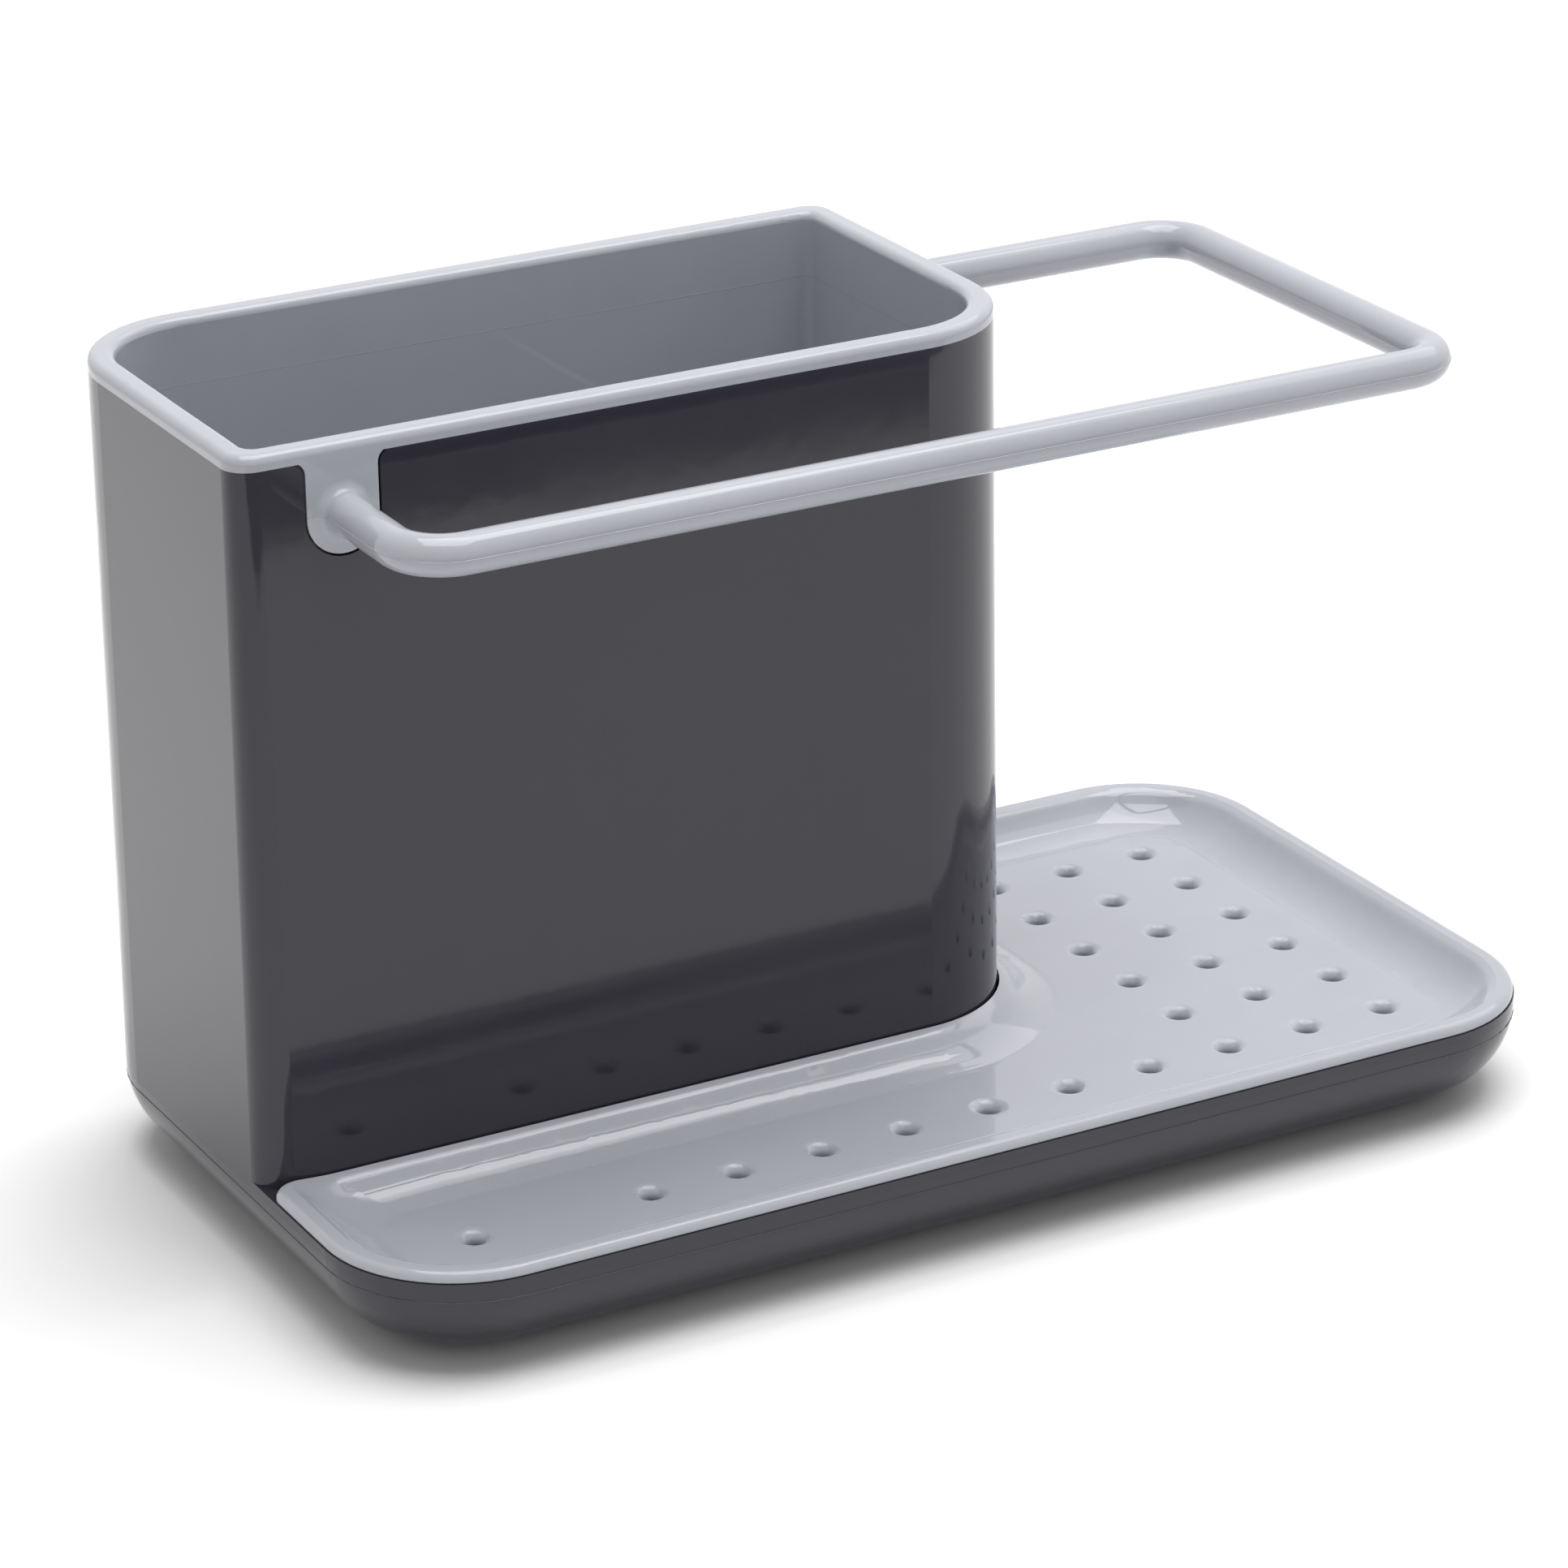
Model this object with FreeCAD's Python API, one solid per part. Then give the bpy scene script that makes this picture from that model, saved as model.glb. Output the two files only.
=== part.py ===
import FreeCAD, Part
import math
import os

# Kitchen sink caddy: a dark base (tub and tower in one moulding), a light insert with a cloth rail that hangs
# in the tower, a light drip tray that covers the tub, and four soft feet.
# Millimetres, +Z up. The origin is on the table under the middle of the base, +X runs along its length and
# -Y faces the person who uses it.

Vector = FreeCAD.Vector
UP = Vector(0, 0, 1)

# Base: the tub
BASE_LENGTH = 205.0
BASE_DEPTH = 113.5
BASE_CORNER = 22.0
TUB_HEIGHT = 14.9
TUB_ROUND = 13.5
TUB_WALL = 2.2
TUB_FLOOR = 2.4

# Base: the tower, sized at its foot, narrowing upwards by the draft
TOWER_LENGTH = 134.7
TOWER_SET_BACK = 43.0
TOWER_HEIGHT = 111.65
TOWER_WALL = 2.0
TOWER_TIGHT_CORNER = 5.0
TOWER_FREE_CORNER = 20.7
DRAFT_DEGREES = 0.43
LEAST_CORNER = 1.6

# Feet
FOOT_DIAMETER = 12.0
FOOT_STAND = 1.2
FOOT_SEAT_DEPTH = 0.8
FOOT_SEAT_CLEARANCE = 0.2
FOOT_INSET = 26.0
FOOT_ROUND = 0.4

# Insert: cup, rim and divider
INSERT_CLEARANCE = 0.35
INSERT_WALL = 1.9
INSERT_FLOOR = 2.2
INSERT_CHAMFER = 1.2
SPACE_UNDER_INSERT = 16.0
RIM_HEIGHT = 2.3
RIM_OUTER_ROUND = 1.4
RIM_INNER_ROUND = 1.3
DIVIDER_WALL = 1.5
DIVIDER_FROM_LEFT = 103.0
DIVIDER_BELOW_RIM = 31.6
DRAIN_DIAMETER = 5.0
DRAIN_PITCH = 16.0
DRAIN_MARGIN = 8.0

# Insert: tabs in the tower's notches
TAB_WIDTH = 12.0
TAB_BELOW_AXIS = 6.6
TAB_FLARE = 1.8
TAB_CLEARANCE = 0.35

# Insert: cloth rail, its places measured from the tower's upper edge
RAIL_DIAMETER = 6.2
RAIL_BEND = 7.6
RAIL_BELOW_TOWER_TOP = 8.2
RAIL_FRONT_REACH = 24.4
RAIL_SIDE_REACH = 57.8
RAIL_FRONT_ROOT = 16.8
RAIL_SIDE_ROOT = 15.8
RAIL_ROOT_ROUND = 1.8
RAIL_ROOT_DEPTH = 1.2

# Drip tray
TRAY_SETBACK = 0.2
TRAY_EDGE_HEIGHT = 1.7
TRAY_EDGE_ROUND = 1.3
TRAY_SEAM_ROUND = 0.35
TRAY_TOWER_GAP = 0.3
TRAY_TUB_CLEARANCE = 0.4
TRAY_RIM_WIDTH = 2.2
TRAY_TIP = 4.0
TRAY_FLOOR = 2.0
COLLAR_HEIGHT = 0.8
COLLAR_FLARE = 3.0
UNDER_SLOPE = 7.0
DISH_DEPTH = 5.2
DISH_TIP = 7.0
DISH_ROUND = 10.0
CREST_ROUND = 3.0
CREST_LIFT = 0.06
HOLE_THROAT = 2.8
HOLE_LIP = 1.8
HOLE_INSET = 20.8
HOLE_FRONT_INSET = 21.3
HOLE_TOWER_INSET = 17.0
HOLE_PITCH_ALONG = 14.6
HOLE_PITCH_ACROSS = 14.4
BARE_PLACE = 1

# Heights worked out from the sizes above
TUB_BOTTOM = FOOT_STAND
TUB_TOP = TUB_BOTTOM + TUB_HEIGHT
TUB_FLOOR_TOP = TUB_BOTTOM + TUB_FLOOR
TOWER_TOP = TUB_TOP + TOWER_HEIGHT
RIM_TOP = TOWER_TOP + RIM_HEIGHT
INSERT_BOTTOM = TUB_FLOOR_TOP + SPACE_UNDER_INSERT
INSERT_FLOOR_TOP = INSERT_BOTTOM + INSERT_FLOOR
RAIL_AXIS = TOWER_TOP - RAIL_BELOW_TOWER_TOP
TRAY_TOP = TUB_TOP + TRAY_EDGE_HEIGHT
DISH_FLOOR = TRAY_TOP - DISH_DEPTH
TRAY_BOTTOM = DISH_FLOOR - TRAY_FLOOR

# Sides of the base and of the tower's foot
LEFT = -BASE_LENGTH / 2
RIGHT = BASE_LENGTH / 2
FRONT = -BASE_DEPTH / 2
BACK = BASE_DEPTH / 2
TOWER_RIGHT = LEFT + TOWER_LENGTH
TOWER_FRONT = FRONT + TOWER_SET_BACK
TOWER_DEPTH = BACK - TOWER_FRONT

# How far the draft has drawn the tower's faces in at its upper edge
TOP_DRAW = TOWER_HEIGHT * math.tan(math.radians(DRAFT_DEGREES))
INSERT_INSET = TOWER_WALL + INSERT_CLEARANCE
CAVITY_INSET = INSERT_INSET + INSERT_WALL
SMALL = 1e-4
ROUND_SHARE = 0.95
DISH_PLANS = 11


def fitted(corners, radii):
    """Corner radii, cut down where two arcs would meet on a side that is too short for them."""
    shares = []
    for index, corner in enumerate(corners):
        following = (index + 1) % len(corners)
        room = ROUND_SHARE * math.dist(corner, corners[following])
        shares.append(min(1, room / (radii[index] + radii[following])))
    return [radius * min(shares[index - 1], shares[index]) for index, radius in enumerate(radii)]


def rounded_outline(corners, radii, height):
    """Closed wire of straight sides, with an arc of its own radius at each right-angled corner."""
    arcs = []
    count = len(corners)
    for index, (corner, radius) in enumerate(zip(corners, fitted(corners, radii))):
        here = Vector(corner[0], corner[1], height)
        before = Vector(*corners[index - 1], height)
        after = Vector(*corners[(index + 1) % count], height)
        to_before = (before - here).normalize()
        to_after = (after - here).normalize()
        middle = here + (to_before + to_after) * radius * (1 - math.sqrt(0.5))
        arcs.append((here + to_before * radius, middle, here + to_after * radius))
    edges = []
    for index, (start, middle, end) in enumerate(arcs):
        edges.append(Part.Arc(start, middle, end).toShape())
        edges.append(Part.LineSegment(end, arcs[(index + 1) % count][0]).toShape())
    return Part.Wire(edges)


def rectangle(left, right, front, back):
    """Corners of a rectangle, from front left round to back left."""
    return [(left, front), (right, front), (right, back), (left, back)]


def base_outline(inset, height):
    """Plan of the base, drawn in by an inset."""
    corners = rectangle(LEFT + inset, RIGHT - inset, FRONT + inset, BACK - inset)
    return rounded_outline(corners, [BASE_CORNER - inset] * 4, height)


def tower_outline(inset, height):
    """Plan of the tower drawn in by an inset, two corners tight and two wide.

    The back left corner follows the base's own at the foot and the free corner at the top.
    """
    corners = rectangle(LEFT + inset, TOWER_RIGHT - inset, TOWER_FRONT + inset, BACK - inset)
    share = min(max((height - TUB_TOP) / TOWER_HEIGHT, 0), 1)
    back_left = BASE_CORNER + (TOWER_FREE_CORNER - BASE_CORNER) * share
    full = [TOWER_TIGHT_CORNER, TOWER_FREE_CORNER, TOWER_TIGHT_CORNER, back_left]
    return rounded_outline(corners, [max(radius - inset, LEAST_CORNER) for radius in full], height)


def tray_outline(inset, tower_inset, tip, height):
    """L-shaped plan of the tray, drawn in from the base and from the tower, with its two tips rounded."""
    near = TOWER_RIGHT + tower_inset
    line = TOWER_FRONT - tower_inset
    corners = rectangle(LEFT + inset, RIGHT - inset, FRONT + inset, BACK - inset)[:3]
    corners += [(near, BACK - inset), (near, line), (LEFT + inset, line)]
    corner = BASE_CORNER - inset
    hollow = TOWER_FREE_CORNER + tower_inset
    return rounded_outline(corners, [corner, corner, corner, tip, hollow, tip], height)


def prism(outline, height):
    """Solid of one plan all the way up."""
    return Part.Face(outline).extrude(UP * height)


def tapered(*plans):
    """Solid between plans at rising heights."""
    return Part.makeLoft(list(plans), True, True)


def lies_at(shape, height):
    """Whether an edge or a face lies flat at a height."""
    box = shape.BoundBox
    return abs(box.ZMin - height) < SMALL and abs(box.ZMax - height) < SMALL


def edges_at(shape, height):
    """Edges that lie flat at a height."""
    return [edge for edge in shape.Edges if lies_at(edge, height)]


def inner_edges_at(shape, height):
    """Edges at a height, without those that lie on the shape's outer outline."""
    flats = [face for face in shape.Faces if lies_at(face, height)]
    rings = [wire for face in flats for wire in face.Wires if not wire.isSame(face.OuterWire)]
    return [edge for wire in rings for edge in wire.Edges]


def within(radius, room):
    """Radius of a rounding, limited by the wall that it runs along."""
    return min(radius, ROUND_SHARE * room)


def tub_block(inset, bottom):
    """Tub-shaped block with its lower edge rounded, for the outside and the inside of the tub."""
    height = TUB_TOP - bottom
    block = prism(base_outline(inset, bottom), height)
    room = min(height, BASE_CORNER - inset)
    return block.makeFillet(within(TUB_ROUND - inset, room), edges_at(block, bottom))


def tab_profile(clearance):
    """Upright U-shaped face about the rail's axis, drawn in by a clearance and flared under the rim."""
    half = TAB_WIDTH / 2
    round_centre = RAIL_AXIS - TAB_BELOW_AXIS + half
    side = half - clearance
    flare_centre = TOWER_TOP - TAB_FLARE
    flare = TAB_FLARE + clearance
    top = TOWER_TOP + clearance
    reach = half + TAB_FLARE
    diagonal = flare * math.sqrt(0.5)

    def at(across, height):
        return Vector(across, 0, height)

    def flare_arc(sign):
        middle = at(sign * (reach - diagonal), flare_centre + diagonal)
        return Part.Arc(at(sign * reach, top), middle, at(sign * side, flare_centre)).toShape()

    bowl = Part.Arc(at(-side, round_centre), at(0, round_centre - side), at(side, round_centre)).toShape()
    left = Part.LineSegment(at(-side, flare_centre), at(-side, round_centre)).toShape()
    right = Part.LineSegment(at(side, round_centre), at(side, flare_centre)).toShape()
    closing = Part.LineSegment(at(-reach, top), at(reach, top)).toShape()
    edges = [flare_arc(-1), left, bowl, right, flare_arc(1), closing]
    return Part.Face(Part.Wire(Part.__sortEdges__(edges)))


def place_on_front(shape):
    """Moves a shape modelled about the rail's axis to its root on the tower's front wall."""
    placed = shape.copy()
    placed.translate(Vector(LEFT + TOP_DRAW + RAIL_FRONT_ROOT, TOWER_FRONT + TOP_DRAW, 0))
    return placed


def place_on_side(shape):
    """Turns a shape modelled about the rail's axis to its root on the tower's right wall."""
    placed = shape.copy()
    placed.rotate(Vector(0, 0, 0), UP, 90)
    placed.translate(Vector(TOWER_RIGHT - TOP_DRAW, BACK - TOP_DRAW - RAIL_SIDE_ROOT, 0))
    return placed


def notches():
    """Cutters for the two notches in the tower's upper edge."""
    reach = TOWER_WALL + TOP_DRAW
    cutter = tab_profile(0).extrude(Vector(0, 2 * reach, 0))
    cutter.translate(Vector(0, -reach, 0))
    return [place_on_front(cutter), place_on_side(cutter)]


def foot_places():
    """Plan places of the four feet, by name."""
    across = BASE_LENGTH / 2 - FOOT_INSET
    along = BASE_DEPTH / 2 - FOOT_INSET
    sides = {"left": -across, "right": across}
    ends = {"front": -along, "back": along}
    return {f"{end}_{side}": (x, y) for end, y in ends.items() for side, x in sides.items()}


def make_base():
    """Tub and tower as one hollow moulding, with notches for the tabs and seats for the feet."""
    body = tub_block(0, TUB_BOTTOM)
    body = body.fuse(tapered(tower_outline(0, TUB_TOP), tower_outline(TOP_DRAW, TOWER_TOP)))
    basin = tub_block(TUB_WALL, TUB_FLOOR_TOP)
    depth = TUB_TOP - TUB_FLOOR_TOP
    basin_beside = basin.cut(prism(tower_outline(0, TUB_FLOOR_TOP), depth))
    basin_below = basin.common(prism(tower_outline(TOWER_WALL, TUB_FLOOR_TOP), depth))
    well = tapered(tower_outline(TOWER_WALL, TUB_TOP), tower_outline(TOWER_WALL + TOP_DRAW, TOWER_TOP))
    seat_radius = FOOT_DIAMETER / 2 + FOOT_SEAT_CLEARANCE
    seats = []
    for x, y in foot_places().values():
        seats.append(Part.makeCylinder(seat_radius, FOOT_SEAT_DEPTH, Vector(x, y, TUB_BOTTOM)))
    return body.cut([basin_beside, basin_below, well] + notches() + seats).removeSplitter()


def make_foot(place):
    """Soft disc, seated in the base's underside and standing on the table."""
    disc = Part.makeCylinder(FOOT_DIAMETER / 2, FOOT_STAND + FOOT_SEAT_DEPTH, Vector(place[0], place[1], 0))
    return disc.makeFillet(within(FOOT_ROUND, FOOT_STAND), edges_at(disc, 0))


def rail_turns():
    """Points of the rail's centre line: the front root, its three turns and the side root."""
    root_x = LEFT + TOP_DRAW + RAIL_FRONT_ROOT
    front_y = TOWER_FRONT + TOP_DRAW
    side_x = TOWER_RIGHT - TOP_DRAW
    side_y = BACK - TOP_DRAW - RAIL_SIDE_ROOT
    bar_y = front_y - RAIL_FRONT_REACH
    bar_x = side_x + RAIL_SIDE_REACH
    start = (root_x, front_y + RAIL_ROOT_DEPTH)
    end = (side_x - RAIL_ROOT_DEPTH, side_y)
    turns = [(root_x, bar_y), (bar_x, bar_y), (bar_x, side_y)]
    return [Vector(x, y, RAIL_AXIS) for x, y in [start] + turns + [end]]


def straight(start, end):
    """Straight length of the rail."""
    return Part.makeCylinder(RAIL_DIAMETER / 2, (end - start).Length, start, end - start)


def bend(turn, to_before, to_after):
    """Quarter bend of the rail, from the side it comes from to the side it leaves by."""
    start = turn + to_before * RAIL_BEND
    centre = start + to_after * RAIL_BEND
    section = Part.Face(Part.Wire(Part.makeCircle(RAIL_DIAMETER / 2, start, to_before)))
    return section.revolve(centre, to_after.cross(to_before), 90)


def rail_bar():
    """Round bar along the rail's centre line."""
    points = rail_turns()
    pieces = []
    last = points[0]
    for before, turn, after in zip(points, points[1:], points[2:]):
        to_before = (before - turn).normalize()
        to_after = (after - turn).normalize()
        pieces.append(straight(last, turn + to_before * RAIL_BEND))
        pieces.append(bend(turn, to_before, to_after))
        last = turn + to_after * RAIL_BEND
    pieces.append(straight(last, points[-1]))
    return pieces[0].fuse(pieces[1:])


def make_rail():
    """Round rail with a tab at each root, blended into them."""
    tab = tab_profile(TAB_CLEARANCE).extrude(Vector(0, INSERT_INSET + INSERT_WALL / 2, 0))
    whole = rail_bar().fuse([place_on_front(tab), place_on_side(tab)]).removeSplitter()
    roots = [place(Part.Vertex(0, 0, RAIL_AXIS)).Point for place in (place_on_front, place_on_side)]
    blends = [edge for edge in whole.Edges if any(is_ring(edge, root) for root in roots)]
    room = TAB_WIDTH / 2 - TAB_CLEARANCE - RAIL_DIAMETER / 2
    return whole.makeFillet(within(RAIL_ROOT_ROUND, room), blends)


def is_ring(edge, centre):
    """Whether an edge is the rail's circle about a centre."""
    curve = edge.Curve
    return isinstance(curve, Part.Circle) and (curve.Center - centre).Length < SMALL * 10


def cavity_plan(height):
    """Plan of the insert's inside, which narrows downwards by the draft."""
    drop = (RIM_TOP - height) * math.tan(math.radians(DRAFT_DEGREES))
    return tower_outline(TOP_DRAW + CAVITY_INSET + drop, height)


def cup_plan(height, inset=0):
    """Plan of the insert's outside, a wall's thickness outside its cavity."""
    drop = (RIM_TOP - height) * math.tan(math.radians(DRAFT_DEGREES))
    return tower_outline(TOP_DRAW + INSERT_INSET + drop + inset, height)


def drains():
    """Round holes along the insert's floor, clear of the divider."""
    left = LEFT + TOP_DRAW + CAVITY_INSET + DRAIN_MARGIN
    right = TOWER_RIGHT - TOP_DRAW - CAVITY_INSET - DRAIN_MARGIN
    middle = (TOWER_FRONT + BACK) / 2
    divider = LEFT + DIVIDER_FROM_LEFT
    tools = []
    for low, high in ((left, divider - DRAIN_MARGIN), (divider + DRAIN_MARGIN, right)):
        steps = max(int((high - low) // DRAIN_PITCH), 0)
        first = (low + high - steps * DRAIN_PITCH) / 2
        for step in range(steps + 1):
            place = Vector(first + step * DRAIN_PITCH, middle, INSERT_BOTTOM)
            tools.append(Part.makeCylinder(DRAIN_DIAMETER / 2, INSERT_FLOOR, place))
    return tools


def make_insert():
    """Cup with its rim, divider, tabs and rail in one moulding."""
    rim = prism(tower_outline(TOP_DRAW, TOWER_TOP), RIM_HEIGHT)
    rim = rim.makeFillet(within(RIM_OUTER_ROUND, RIM_HEIGHT), edges_at(rim, RIM_TOP))
    foot = cup_plan(INSERT_BOTTOM, INSERT_CHAMFER)
    cup = tapered(foot, cup_plan(INSERT_BOTTOM + INSERT_CHAMFER), cup_plan(TOWER_TOP))
    cavity = tapered(cavity_plan(INSERT_FLOOR_TOP), cavity_plan(RIM_TOP))
    divider_height = RIM_TOP - DIVIDER_BELOW_RIM - INSERT_BOTTOM
    corner = Vector(LEFT + DIVIDER_FROM_LEFT - DIVIDER_WALL / 2, TOWER_FRONT, INSERT_BOTTOM)
    divider = Part.makeBox(DIVIDER_WALL, TOWER_DEPTH, divider_height, corner).common(cup)
    shell = rim.fuse(cup).cut(cavity)
    shell = shell.makeFillet(within(RIM_INNER_ROUND, RIM_HEIGHT), inner_edges_at(shell, RIM_TOP))
    return shell.fuse([divider, make_rail()]).cut(drains()).removeSplitter()


def hole_tool():
    """Cutter for one drain hole of the tray: a rounded mouth that narrows to the throat."""
    throat = HOLE_THROAT / 2
    mouth = throat + HOLE_LIP
    shoulder = DISH_FLOOR - HOLE_LIP
    bend = HOLE_LIP * (1 - math.sqrt(0.5))

    def at(radius, height):
        return Vector(radius, 0, height)

    edge = at(mouth, DISH_FLOOR)
    start = at(throat, shoulder)
    lip = Part.Arc(start, at(throat + bend, DISH_FLOOR - bend), edge).toShape()
    corners = [edge, at(0, DISH_FLOOR), at(0, TRAY_BOTTOM), at(throat, TRAY_BOTTOM), start]
    sides = [Part.LineSegment(a, b).toShape() for a, b in zip(corners, corners[1:])]
    face = Part.Face(Part.Wire(Part.__sortEdges__([lip] + sides)))
    return face.revolve(Vector(0, 0, 0), UP, 360)


def hole_places():
    """Plan places of the drain holes: a row along the front, with one place bare, and rows on the pad."""
    last_x = RIGHT - HOLE_INSET
    front_y = FRONT + HOLE_FRONT_INSET
    columns = int((BASE_LENGTH - 2 * HOLE_INSET) // HOLE_PITCH_ALONG)
    rows = round((BASE_DEPTH - HOLE_FRONT_INSET - HOLE_INSET) / HOLE_PITCH_ACROSS)
    pad_left = TOWER_RIGHT + HOLE_TOWER_INSET
    places = []
    for row in range(rows + 1):
        for column in range(columns + 1):
            x = last_x - (columns - column) * HOLE_PITCH_ALONG
            on_pad = x > pad_left
            in_front_row = row == 0 and column != BARE_PLACE
            if on_pad or in_front_row:
                places.append(Vector(x, front_y + row * HOLE_PITCH_ACROSS, 0))
    return places


def wall_run(rise, depth):
    """How far in from its crest an S-shaped wall lies, at a rise above the dish's floor."""
    if rise > depth:
        return COLLAR_FLARE * (depth - rise)
    total = CREST_ROUND + DISH_ROUND
    steepest = math.acos(1 - depth / total)
    if rise < DISH_ROUND * (1 - math.cos(steepest)):
        return total * math.sin(steepest) - math.sqrt(rise * (2 * DISH_ROUND - rise))
    drop = depth - rise
    return math.sqrt(drop * (2 * CREST_ROUND - drop))


def make_dish():
    """Cutter for the dish: its walls fall in an S from the rim, and from a lower collar beside the tower."""
    rim_depth = DISH_DEPTH + CREST_LIFT
    collar_depth = TUB_TOP + COLLAR_HEIGHT - DISH_FLOOR
    plans = []
    for step in range(DISH_PLANS):
        rise = rim_depth * (1 - math.cos(math.pi * step / (DISH_PLANS - 1))) / 2
        inset = TRAY_RIM_WIDTH + wall_run(rise, rim_depth)
        tower_inset = TRAY_TOWER_GAP + wall_run(rise, collar_depth)
        plans.append(tray_outline(inset, tower_inset, DISH_TIP, DISH_FLOOR + rise))
    return Part.makeLoft(plans, True, False)


def make_tray():
    """Thin dished tray that lies on the tub's edge round the tower."""
    edge = prism(tray_outline(TRAY_SETBACK, TRAY_TOWER_GAP, TRAY_TIP, TUB_TOP), TRAY_EDGE_HEIGHT)
    upper_round = within(TRAY_EDGE_ROUND, TRAY_EDGE_HEIGHT - TRAY_SEAM_ROUND)
    edge = edge.makeFillet(upper_round, edges_at(edge, TRAY_TOP))
    edge = edge.makeFillet(within(TRAY_SEAM_ROUND, TRAY_EDGE_HEIGHT), edges_at(edge, TUB_TOP))
    inset = TUB_WALL + TRAY_TUB_CLEARANCE
    tower_inset = TRAY_TOWER_GAP + TRAY_TUB_CLEARANCE
    under = tapered(tray_outline(inset + UNDER_SLOPE, tower_inset + UNDER_SLOPE, DISH_TIP, TRAY_BOTTOM),
                    tray_outline(inset, tower_inset, DISH_TIP, TUB_TOP))
    tray = edge.fuse(under).cut(make_dish())
    tools = []
    for place in hole_places():
        tool = hole_tool()
        tool.translate(place)
        tools.append(tool)
    return tray.cut(tools).removeSplitter()


def make_pieces():
    """Every piece of the caddy, by name."""
    pieces = {"base_housing": make_base(), "insert": make_insert(), "drip_tray": make_tray()}
    for name, place in foot_places().items():
        pieces[f"foot_{name}"] = make_foot(place)
    return pieces


os.makedirs("parts", exist_ok=True)
for node, shape in make_pieces().items():
    solids = shape.Solids
    print(node, "valid" if shape.isValid() else "NOT VALID", len(solids), "solid", round(shape.Volume), "mm3")
    piece = solids[0] if len(solids) == 1 else Part.makeCompound(solids)
    piece.exportStep(f"parts/{node}.step")
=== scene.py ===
"""Looks of a kitchen sink caddy: moulded plastic materials, studio light and the photograph's camera.

Metres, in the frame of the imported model: +Z up, +X along the base, -Y towards the person who uses it.
"""
import math

import bpy
from mathutils import Matrix, Vector


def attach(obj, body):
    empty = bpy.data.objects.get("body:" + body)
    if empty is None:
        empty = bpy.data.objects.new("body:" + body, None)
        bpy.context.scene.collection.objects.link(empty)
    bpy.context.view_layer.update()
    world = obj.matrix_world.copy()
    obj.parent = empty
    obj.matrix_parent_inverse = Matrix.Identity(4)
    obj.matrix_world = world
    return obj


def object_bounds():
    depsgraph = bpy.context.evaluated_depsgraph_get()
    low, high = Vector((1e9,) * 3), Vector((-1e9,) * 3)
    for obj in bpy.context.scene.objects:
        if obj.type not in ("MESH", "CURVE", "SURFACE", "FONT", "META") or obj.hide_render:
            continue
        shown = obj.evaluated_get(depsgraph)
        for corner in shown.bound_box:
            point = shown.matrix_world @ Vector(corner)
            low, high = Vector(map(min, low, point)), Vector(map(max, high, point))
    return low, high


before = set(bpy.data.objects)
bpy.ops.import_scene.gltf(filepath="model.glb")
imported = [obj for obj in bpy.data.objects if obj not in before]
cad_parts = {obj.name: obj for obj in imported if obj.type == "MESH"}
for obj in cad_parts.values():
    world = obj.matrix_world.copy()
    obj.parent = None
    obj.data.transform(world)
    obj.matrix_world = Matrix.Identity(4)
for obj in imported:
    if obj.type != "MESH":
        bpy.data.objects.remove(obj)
cad_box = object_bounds()

# The photograph's frame and camera
PHOTO_PIXELS = 1932
FOCAL_PIXELS = 7073.95
SENSOR_MM = 36.0
CAMERA_PLACE = (-0.3996, -0.7187, 0.39385)
CAMERA_AZIMUTH = -28.65
CAMERA_ELEVATION = 22.37
CAMERA_ROLL = -0.69
CAMERA_REACH = 50.0

# Parting lines of the moulds: their heights, the hairline in the material and the ridge that stands out
TUB_PARTING = 0.0131
RAIL_PARTING = 0.11955
PARTING_HALF = 0.00009
RIDGE_THICK = 0.0001
RIDGE_SINK = 0.000095

# Corner of the base, and the rail's centre line with its three turns
BASE_CORNER = 0.022
RAIL_RADIUS = 0.0031
RAIL_BEND = 0.0076
RAIL_LEFT = -0.08486
RAIL_RIGHT = 0.08916
RAIL_FRONT = -0.03731
RAIL_BACK = 0.04011
FRONT_ROOT = -0.0148
SIDE_ROOT = 0.0334
ARC_STEPS = 12

# Noise: the range that most of it lies in, and scales in cycles per metre
NOISE_LOW = 0.3
NOISE_HIGH = 0.7
FLOW_SCALE = 45.0
WAVE_SCALE = 190.0
SCUFF_SCALE = 900.0
GRAIN_SCALE = 2600.0
RUBBER_PATCH_SCALE = 300.0
RUBBER_GRAIN_SCALE = 3500.0

# Moulded plastic: what both colours share
PLASTIC_IOR = 1.52
PLASTIC_RELIEF = 0.000012
GRAIN_SHARE = 0.06
LINE_SHARE = 2.5
LINE_ROUGHNESS = 0.2
SCUFF_ROUGHNESS = 0.015

# Dark plastic
DARK_LOW = (0.031, 0.0285, 0.041, 1)
DARK_HIGH = (0.035, 0.0325, 0.046, 1)
DARK_ROUGHNESS = (0.06, 0.09)
DARK_LINE_GAIN = 2.2

# Light plastic
LIGHT_LOW = (0.5, 0.515, 0.565, 1)
LIGHT_HIGH = (0.53, 0.545, 0.595, 1)
LIGHT_ROUGHNESS = (0.03, 0.05)
LIGHT_LINE_GAIN = 0.8

# Feet
RUBBER_LOW = (0.02, 0.02, 0.021, 1)
RUBBER_HIGH = (0.035, 0.035, 0.036, 1)
RUBBER_ROUGHNESS = (0.7, 0.9)
RUBBER_RELIEF = 0.00004

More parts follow.
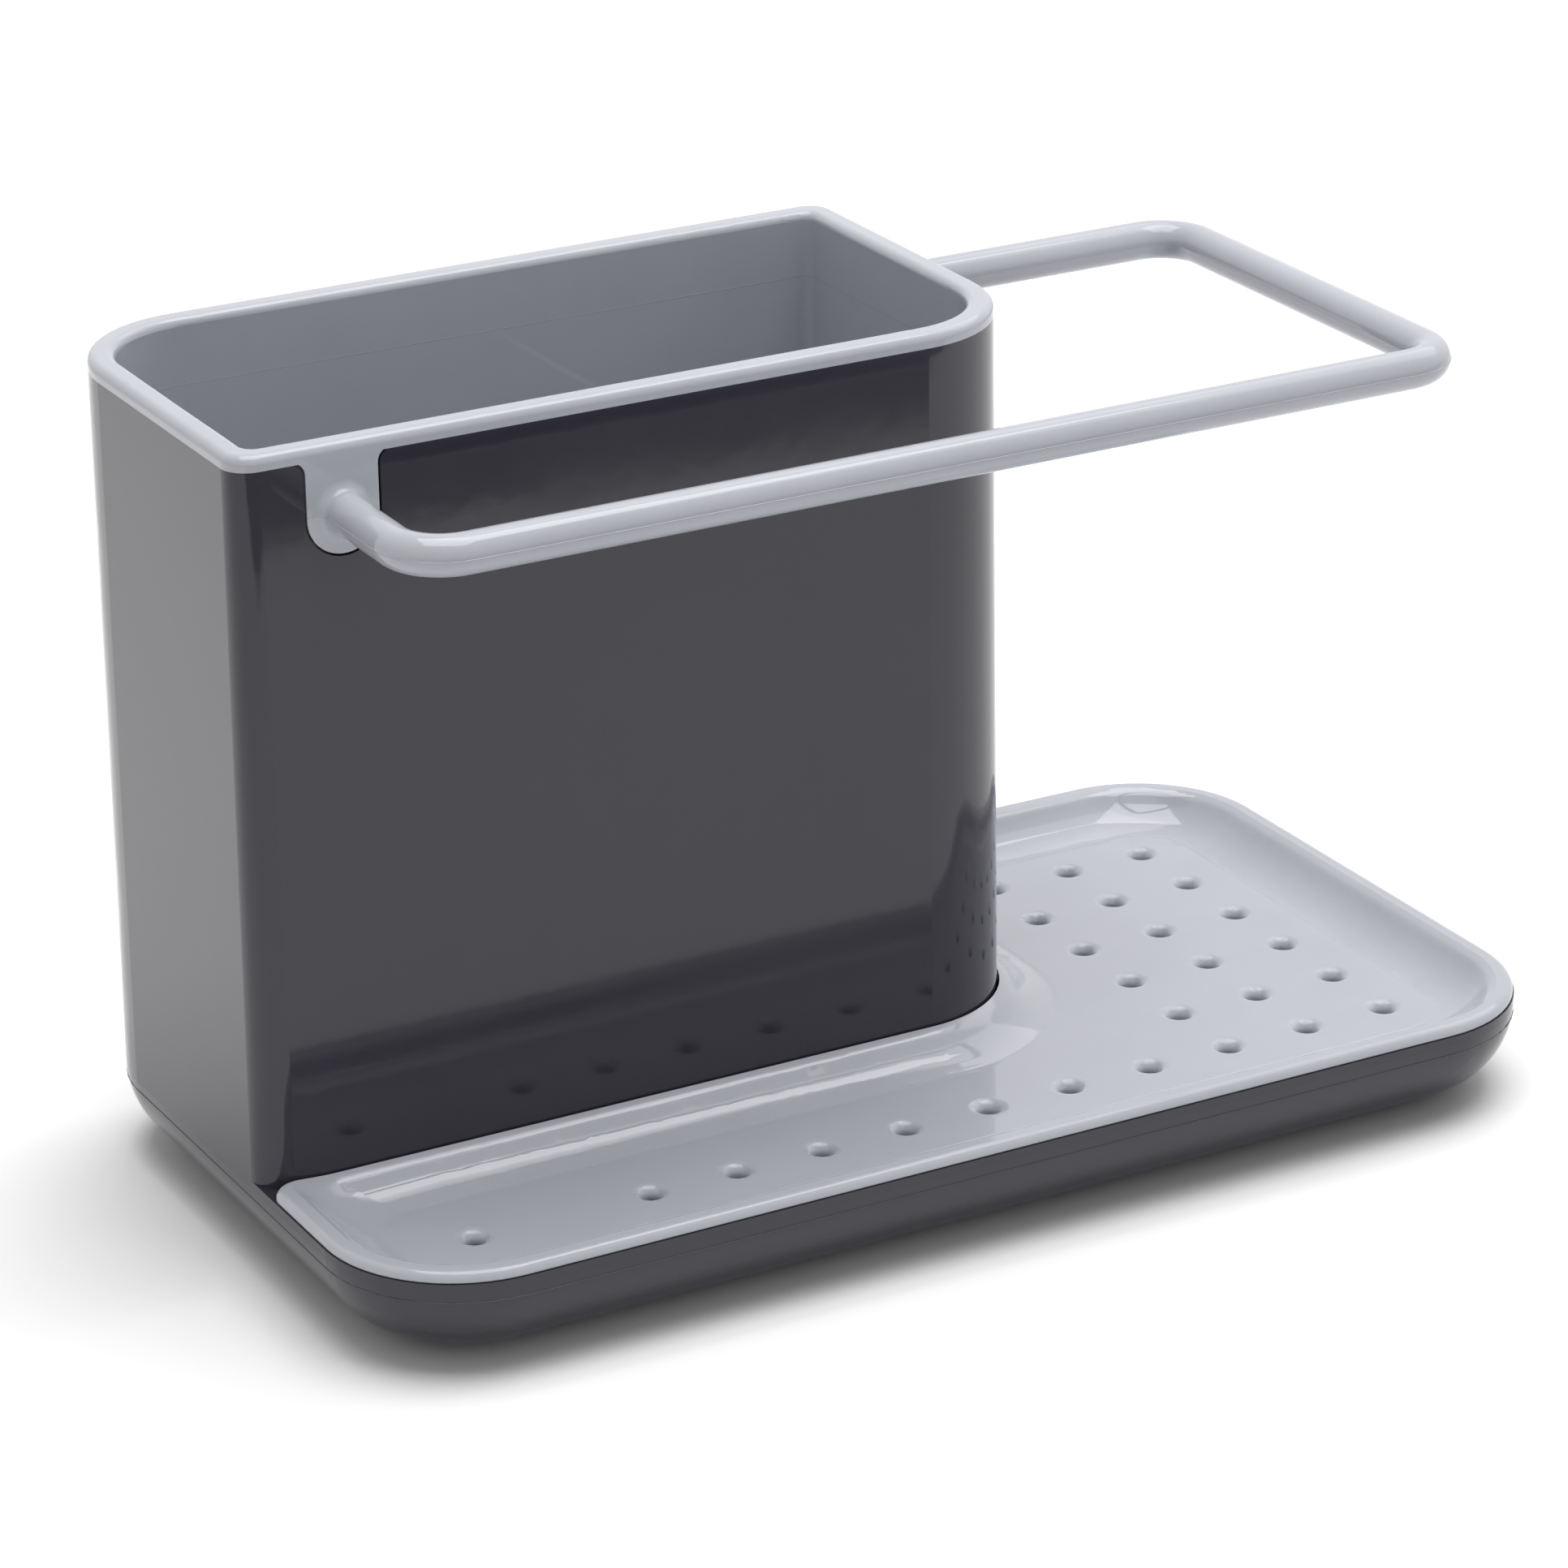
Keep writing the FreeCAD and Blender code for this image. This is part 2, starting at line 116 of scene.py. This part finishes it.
# Paper under the caddy: it ends a little in front, has a painted pool of light at the back left and is seen as
# white far away
WHITE = (1, 1, 1, 1)
FLOOR_HALF = 6.0
FLOOR_FRONT = -0.3235
FLOOR_COLOUR = (0.93, 0.93, 0.93, 1)
FLOOR_SEEN = (1.1, 1.1, 1.1, 1)
# Painted pool of light: brighter paper colour near the back left, for camera and mirrored rays only
FLOOR_PAINTED_LIGHT = (1.4, 1.4, 1.4, 1)
PAINTED_LIGHT_PLACE = (-0.25, 0.27, 0.0)
PAINTED_LIGHT_INNER = 0.1
PAINTED_LIGHT_OUTER = 0.45
FADE_PLACE = (0.0, 0.0, 0.0)
FADE_START = 0.45
FADE_END = 1.0

# Studio: its surround, the dark room below the paper's level, and two softboxes
SEEN_STRENGTH = 1.0
HORIZON_STRENGTH = 0.45
ZENITH_STRENGTH = 0.3
ROOM_STRENGTH = 0.34
LIGHT_AIM = (0.05, 0.0, 0.0)
TOP_PLACE = (0.08, -0.02, 1.5)
TOP_SIZE = 1.2
TOP_POWER = 15.7
WIDE_PLACE = (0.85, 0.3, 1.35)
WIDE_SIZE = 1.4
WIDE_POWER = 6.8

# Numbers of the mix node's sockets for colours
MIX_SHARE = 0
MIX_FIRST = 6
MIX_SECOND = 7
MIX_RESULT = 2


class Tree:
    """Short way to add nodes to a material or world and to join them."""

    def __init__(self, owner):
        owner.use_nodes = True
        self.nodes = owner.node_tree.nodes
        self.links = owner.node_tree.links
        self.nodes.clear()

    def add(self, kind, inputs=(), **settings):
        """New node with its settings, and its inputs set to values or joined to outputs."""
        node = self.nodes.new(kind)
        for name, value in settings.items():
            setattr(node, name, value)
        for name, value in dict(inputs).items():
            self.put(node, name, value)
        return node

    def put(self, node, name, value):
        """Sets one input, or joins it to another node's output."""
        if isinstance(value, bpy.types.NodeSocket):
            self.links.new(value, node.inputs[name])
        else:
            node.inputs[name].default_value = value

    def math(self, operation, first, second=0.0, third=0.0):
        """Output of a math node."""
        inputs = {0: first, 1: second, 2: third}
        return self.add("ShaderNodeMath", inputs, operation=operation).outputs[0]

    def place(self):
        """Place of the shaded point in the part's own frame."""
        return self.add("ShaderNodeTexCoord").outputs["Object"]

    def height_of(self, place):
        """Upright coordinate of a place or a direction."""
        return self.add("ShaderNodeSeparateXYZ", {0: place}).outputs["Z"]

    def distance(self, place, other):
        """Distance between two places."""
        inputs = {0: place, 1: other}
        return self.add("ShaderNodeVectorMath", inputs, operation="DISTANCE").outputs["Value"]

    def noise(self, place, scale, detail=2.0, roughness=0.5):
        """Grey output of a noise texture, with scale in cycles per metre."""
        inputs = {"Vector": place, "Scale": scale, "Detail": detail, "Roughness": roughness}
        return self.add("ShaderNodeTexNoise", inputs).outputs["Fac"]

    def spread(self, value, low, high):
        """Output that maps a noise's usual range onto low to high."""
        inputs = {"Value": value, "From Min": NOISE_LOW, "From Max": NOISE_HIGH, "To Min": low, "To Max": high}
        return self.add("ShaderNodeMapRange", inputs).outputs[0]

    def ramp(self, value, start, end):
        """Output that goes softly from nothing at start to one at end."""
        inputs = {"Value": value, "From Min": start, "From Max": end, "To Min": 0.0, "To Max": 1.0}
        return self.add("ShaderNodeMapRange", inputs, interpolation_type="SMOOTHSTEP").outputs[0]

    def line_at(self, coordinate, place, half):
        """One on a hairline where a coordinate is near a place, else nothing."""
        away = self.math("ABSOLUTE", self.math("SUBTRACT", coordinate, place))
        return self.ramp(away, half, 0.0)

    def blend(self, share, first, second):
        """Colour between two colours."""
        inputs = {MIX_SHARE: share, MIX_FIRST: first, MIX_SECOND: second}
        return self.add("ShaderNodeMix", inputs, data_type="RGBA").outputs[MIX_RESULT]

    def bump(self, height, distance):
        """Normal output from a height between nothing and one, with its size in metres."""
        inputs = {"Height": height, "Distance": distance, "Strength": 1.0}
        return self.add("ShaderNodeBump", inputs).outputs["Normal"]

    def output(self, shader, kind="ShaderNodeOutputMaterial"):
        """Joins the shader to the output."""
        self.links.new(shader.outputs[0], self.nodes.new(kind).inputs["Surface"])


def moulded_plastic(name, low, high, roughness, line_height, line_gain):
    """Polished moulded plastic: faint flow, slight waviness, fine scuffs and a parting hairline."""
    material = bpy.data.materials.new(name)
    tree = Tree(material)
    place = tree.place()
    flow = tree.noise(place, FLOW_SCALE, detail=4.0, roughness=0.6)
    waves = tree.noise(place, WAVE_SCALE, detail=1.0)
    grain = tree.noise(place, GRAIN_SCALE)
    scuffs = tree.noise(place, SCUFF_SCALE, detail=5.0, roughness=0.75)
    line = tree.line_at(tree.height_of(place), line_height, PARTING_HALF)
    colour = tree.blend(tree.spread(flow, 0.0, 1.0), low, high)
    line_colour = tuple(min(channel * line_gain, 1.0) for channel in high[:3]) + (1,)
    colour = tree.blend(line, colour, line_colour)
    scuffed = tree.spread(scuffs, -SCUFF_ROUGHNESS, SCUFF_ROUGHNESS)
    polish = tree.math("ADD", tree.spread(flow, *roughness), scuffed)
    polish = tree.math("MULTIPLY_ADD", line, LINE_ROUGHNESS, polish)
    height = tree.math("MULTIPLY_ADD", grain, GRAIN_SHARE, waves)
    height = tree.math("MULTIPLY_ADD", line, LINE_SHARE, height)
    relief = tree.bump(height, PLASTIC_RELIEF)
    inputs = {"Base Color": colour, "Roughness": polish, "IOR": PLASTIC_IOR, "Normal": relief}
    tree.output(tree.add("ShaderNodeBsdfPrincipled", inputs))
    return material


def soft_rubber(name):
    """Matt rubber with a fine grain and paler rubbed patches."""
    material = bpy.data.materials.new(name)
    tree = Tree(material)
    place = tree.place()
    patches = tree.noise(place, RUBBER_PATCH_SCALE, detail=4.0, roughness=0.6)
    grain = tree.noise(place, RUBBER_GRAIN_SCALE, detail=3.0, roughness=0.6)
    colour = tree.blend(tree.spread(patches, 0.0, 1.0), RUBBER_LOW, RUBBER_HIGH)
    polish = tree.spread(patches, *RUBBER_ROUGHNESS)
    inputs = {"Base Color": colour, "Roughness": polish, "Normal": tree.bump(grain, RUBBER_RELIEF)}
    tree.output(tree.add("ShaderNodeBsdfPrincipled", inputs))
    return material


def dress(nodes, material):
    """Gives CAD nodes a material in place of their plain one."""
    for node in nodes:
        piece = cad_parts[node]
        if not piece.material_slots:
            piece.data.materials.append(material)
        for slot in piece.material_slots:
            slot.material = material


def quarter(centre, radius, start, height):
    """Points of a quarter turn about a centre, from a start angle in degrees."""
    angles = [math.radians(start + 90 * step / ARC_STEPS) for step in range(ARC_STEPS + 1)]
    return [(centre[0] + radius * math.cos(a), centre[1] + radius * math.sin(a), height) for a in angles]


def base_loop():
    """Points round the base at its parting line, a hair inside its surface."""
    half_length, half_depth = cad_box[1][0], cad_box[1][1]
    points = []
    for start, across, along in ((180, -1, -1), (270, 1, -1), (0, 1, 1), (90, -1, 1)):
        centre = (across * (half_length - BASE_CORNER), along * (half_depth - BASE_CORNER))
        points += quarter(centre, BASE_CORNER - RIDGE_SINK, start, TUB_PARTING)
    return points


def rail_line():
    """Points along the outer side of the rail, from its front root to its side root."""
    bend = RAIL_BEND + RAIL_RADIUS
    left = RAIL_LEFT + RAIL_BEND
    right = RAIL_RIGHT - RAIL_BEND
    front = RAIL_FRONT + RAIL_BEND
    back = RAIL_BACK - RAIL_BEND
    points = [(RAIL_LEFT - RAIL_RADIUS, FRONT_ROOT, RAIL_PARTING)]
    points += quarter((left, front), bend, 180, RAIL_PARTING)
    points += quarter((right, front), bend, 270, RAIL_PARTING)
    points += quarter((right, back), bend, 0, RAIL_PARTING)
    return points + [(SIDE_ROOT, RAIL_BACK + RAIL_RADIUS, RAIL_PARTING)]


def hair_ridge(name, points, closed, body, material):
    """Hairline ridge left by the mould, sunk in the surface that it runs along."""
    curve = bpy.data.curves.new(name, "CURVE")
    curve.dimensions = "3D"
    curve.bevel_depth = RIDGE_THICK
    curve.bevel_resolution = 1
    spline = curve.splines.new("POLY")
    spline.points.add(len(points) - 1)
    for point, place in zip(spline.points, points):
        point.co = (*place, 1)
    spline.use_cyclic_u = closed
    curve.materials.append(material)
    piece = bpy.data.objects.new(name, curve)
    bpy.context.scene.collection.objects.link(piece)
    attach(piece, body)


def make_camera():
    """Camera at the photograph's place and angle."""
    azimuth = math.radians(CAMERA_AZIMUTH)
    elevation = math.radians(CAMERA_ELEVATION)
    roll = math.radians(CAMERA_ROLL)
    back = Vector((math.sin(azimuth) * math.cos(elevation),
                   -math.cos(azimuth) * math.cos(elevation), math.sin(elevation)))
    level = (-back).cross(Vector((0, 0, 1))).normalized()
    upright = level.cross(-back)
    right = level * math.cos(roll) + upright * math.sin(roll)
    up = right.cross(-back)
    data = bpy.data.cameras.new("photo_camera")
    data.sensor_width = SENSOR_MM
    data.lens = SENSOR_MM * FOCAL_PIXELS / PHOTO_PIXELS
    data.clip_end = CAMERA_REACH
    camera = bpy.data.objects.new("photo_camera", data)
    turn = Matrix((right, up, back)).transposed().to_4x4()
    camera.matrix_world = Matrix.Translation(Vector(CAMERA_PLACE)) @ turn
    bpy.context.scene.collection.objects.link(camera)
    bpy.context.scene.camera = camera


def soft_light(name, place, size, power):
    """Square softbox aimed at the caddy."""
    data = bpy.data.lights.new(name, "AREA")
    data.size = size
    data.energy = power
    light = bpy.data.objects.new(name, data)
    light.location = place
    light.rotation_euler = (Vector(LIGHT_AIM) - Vector(place)).to_track_quat("-Z", "Y").to_euler()
    bpy.context.scene.collection.objects.link(light)


def seen_directly(tree):
    """One for rays from the camera and for mirrored or refracted rays, else nothing."""
    path = tree.add("ShaderNodeLightPath").outputs
    direct = tree.math("MAXIMUM", path["Is Camera Ray"], path["Is Glossy Ray"])
    return tree.math("MAXIMUM", direct, path["Is Transmission Ray"])


def make_world():
    """Even studio surround, seen as white, with a dark room mirrored below the level of the paper."""
    world = bpy.data.worlds.new("studio")
    tree = Tree(world)
    height = tree.height_of(tree.add("ShaderNodeTexCoord").outputs["Generated"])
    lift = tree.math("MAXIMUM", height, 0.0)
    surround = tree.math("MULTIPLY_ADD", lift, ZENITH_STRENGTH - HORIZON_STRENGTH, HORIZON_STRENGTH)
    strength = tree.math("MAXIMUM", seen_directly(tree), surround)
    glossy = tree.add("ShaderNodeLightPath").outputs["Is Glossy Ray"]
    mirrored_room = tree.math("MULTIPLY", tree.math("LESS_THAN", height, 0.0), glossy)
    strength = tree.math("MULTIPLY_ADD", mirrored_room, ROOM_STRENGTH - SEEN_STRENGTH, strength)
    sky = tree.add("ShaderNodeBackground", {"Color": WHITE, "Strength": strength})
    tree.output(sky, "ShaderNodeOutputWorld")
    bpy.context.scene.world = world


def floor_paper():
    """Pale paper that keeps the shadow, with a painted pool of light towards the back left, and seen as white
    far away.
    """
    material = bpy.data.materials.new("floor_paper")
    tree = Tree(material)
    place = tree.place()
    direct = seen_directly(tree)
    # Painted pool of light: near the back left the paper is painted brighter, for camera and mirrored rays
    # only
    painted_light_share = tree.ramp(tree.distance(place, PAINTED_LIGHT_PLACE), PAINTED_LIGHT_OUTER, PAINTED_LIGHT_INNER)
    seen = tree.blend(painted_light_share, FLOOR_SEEN, FLOOR_PAINTED_LIGHT)
    paper = tree.add("ShaderNodeBsdfDiffuse", {"Color": tree.blend(direct, FLOOR_COLOUR, seen)})
    white = tree.add("ShaderNodeEmission", {"Color": WHITE, "Strength": SEEN_STRENGTH})
    fade = tree.ramp(tree.distance(place, FADE_PLACE), FADE_START, FADE_END)
    far = tree.math("MULTIPLY", fade, direct)
    tree.output(tree.add("ShaderNodeMixShader", {0: far, 1: paper.outputs[0], 2: white.outputs[0]}))
    return material


def make_floor():
    """Sweep of paper that the caddy stands on."""
    mesh = bpy.data.meshes.new("floor")
    corners = [(-FLOOR_HALF, FLOOR_FRONT, 0), (FLOOR_HALF, FLOOR_FRONT, 0),
               (FLOOR_HALF, FLOOR_HALF, 0), (-FLOOR_HALF, FLOOR_HALF, 0)]
    mesh.from_pydata(corners, [], [(0, 1, 2, 3)])
    mesh.materials.append(floor_paper())
    floor = bpy.data.objects.new("floor", mesh)
    bpy.context.scene.collection.objects.link(floor)


dark = moulded_plastic(
    "dark_moulded_plastic", DARK_LOW, DARK_HIGH, DARK_ROUGHNESS, TUB_PARTING, DARK_LINE_GAIN)
light = moulded_plastic(
    "light_moulded_plastic", LIGHT_LOW, LIGHT_HIGH, LIGHT_ROUGHNESS, RAIL_PARTING, LIGHT_LINE_GAIN)
rubber = soft_rubber("foot_rubber")
dress(["base_housing"], dark)
dress(["insert", "drip_tray"], light)
dress(["foot_front_left", "foot_front_right", "foot_back_left", "foot_back_right"], rubber)

hair_ridge("tub_parting_ridge", base_loop(), True, "base", dark)
hair_ridge("rail_parting_ridge", rail_line(), False, "insert", light)

make_camera()
make_world()
make_floor()
soft_light("top_softbox", TOP_PLACE, TOP_SIZE, TOP_POWER)
soft_light("wide_softbox", WIDE_PLACE, WIDE_SIZE, WIDE_POWER)
bpy.context.scene.view_settings.view_transform = "Standard"
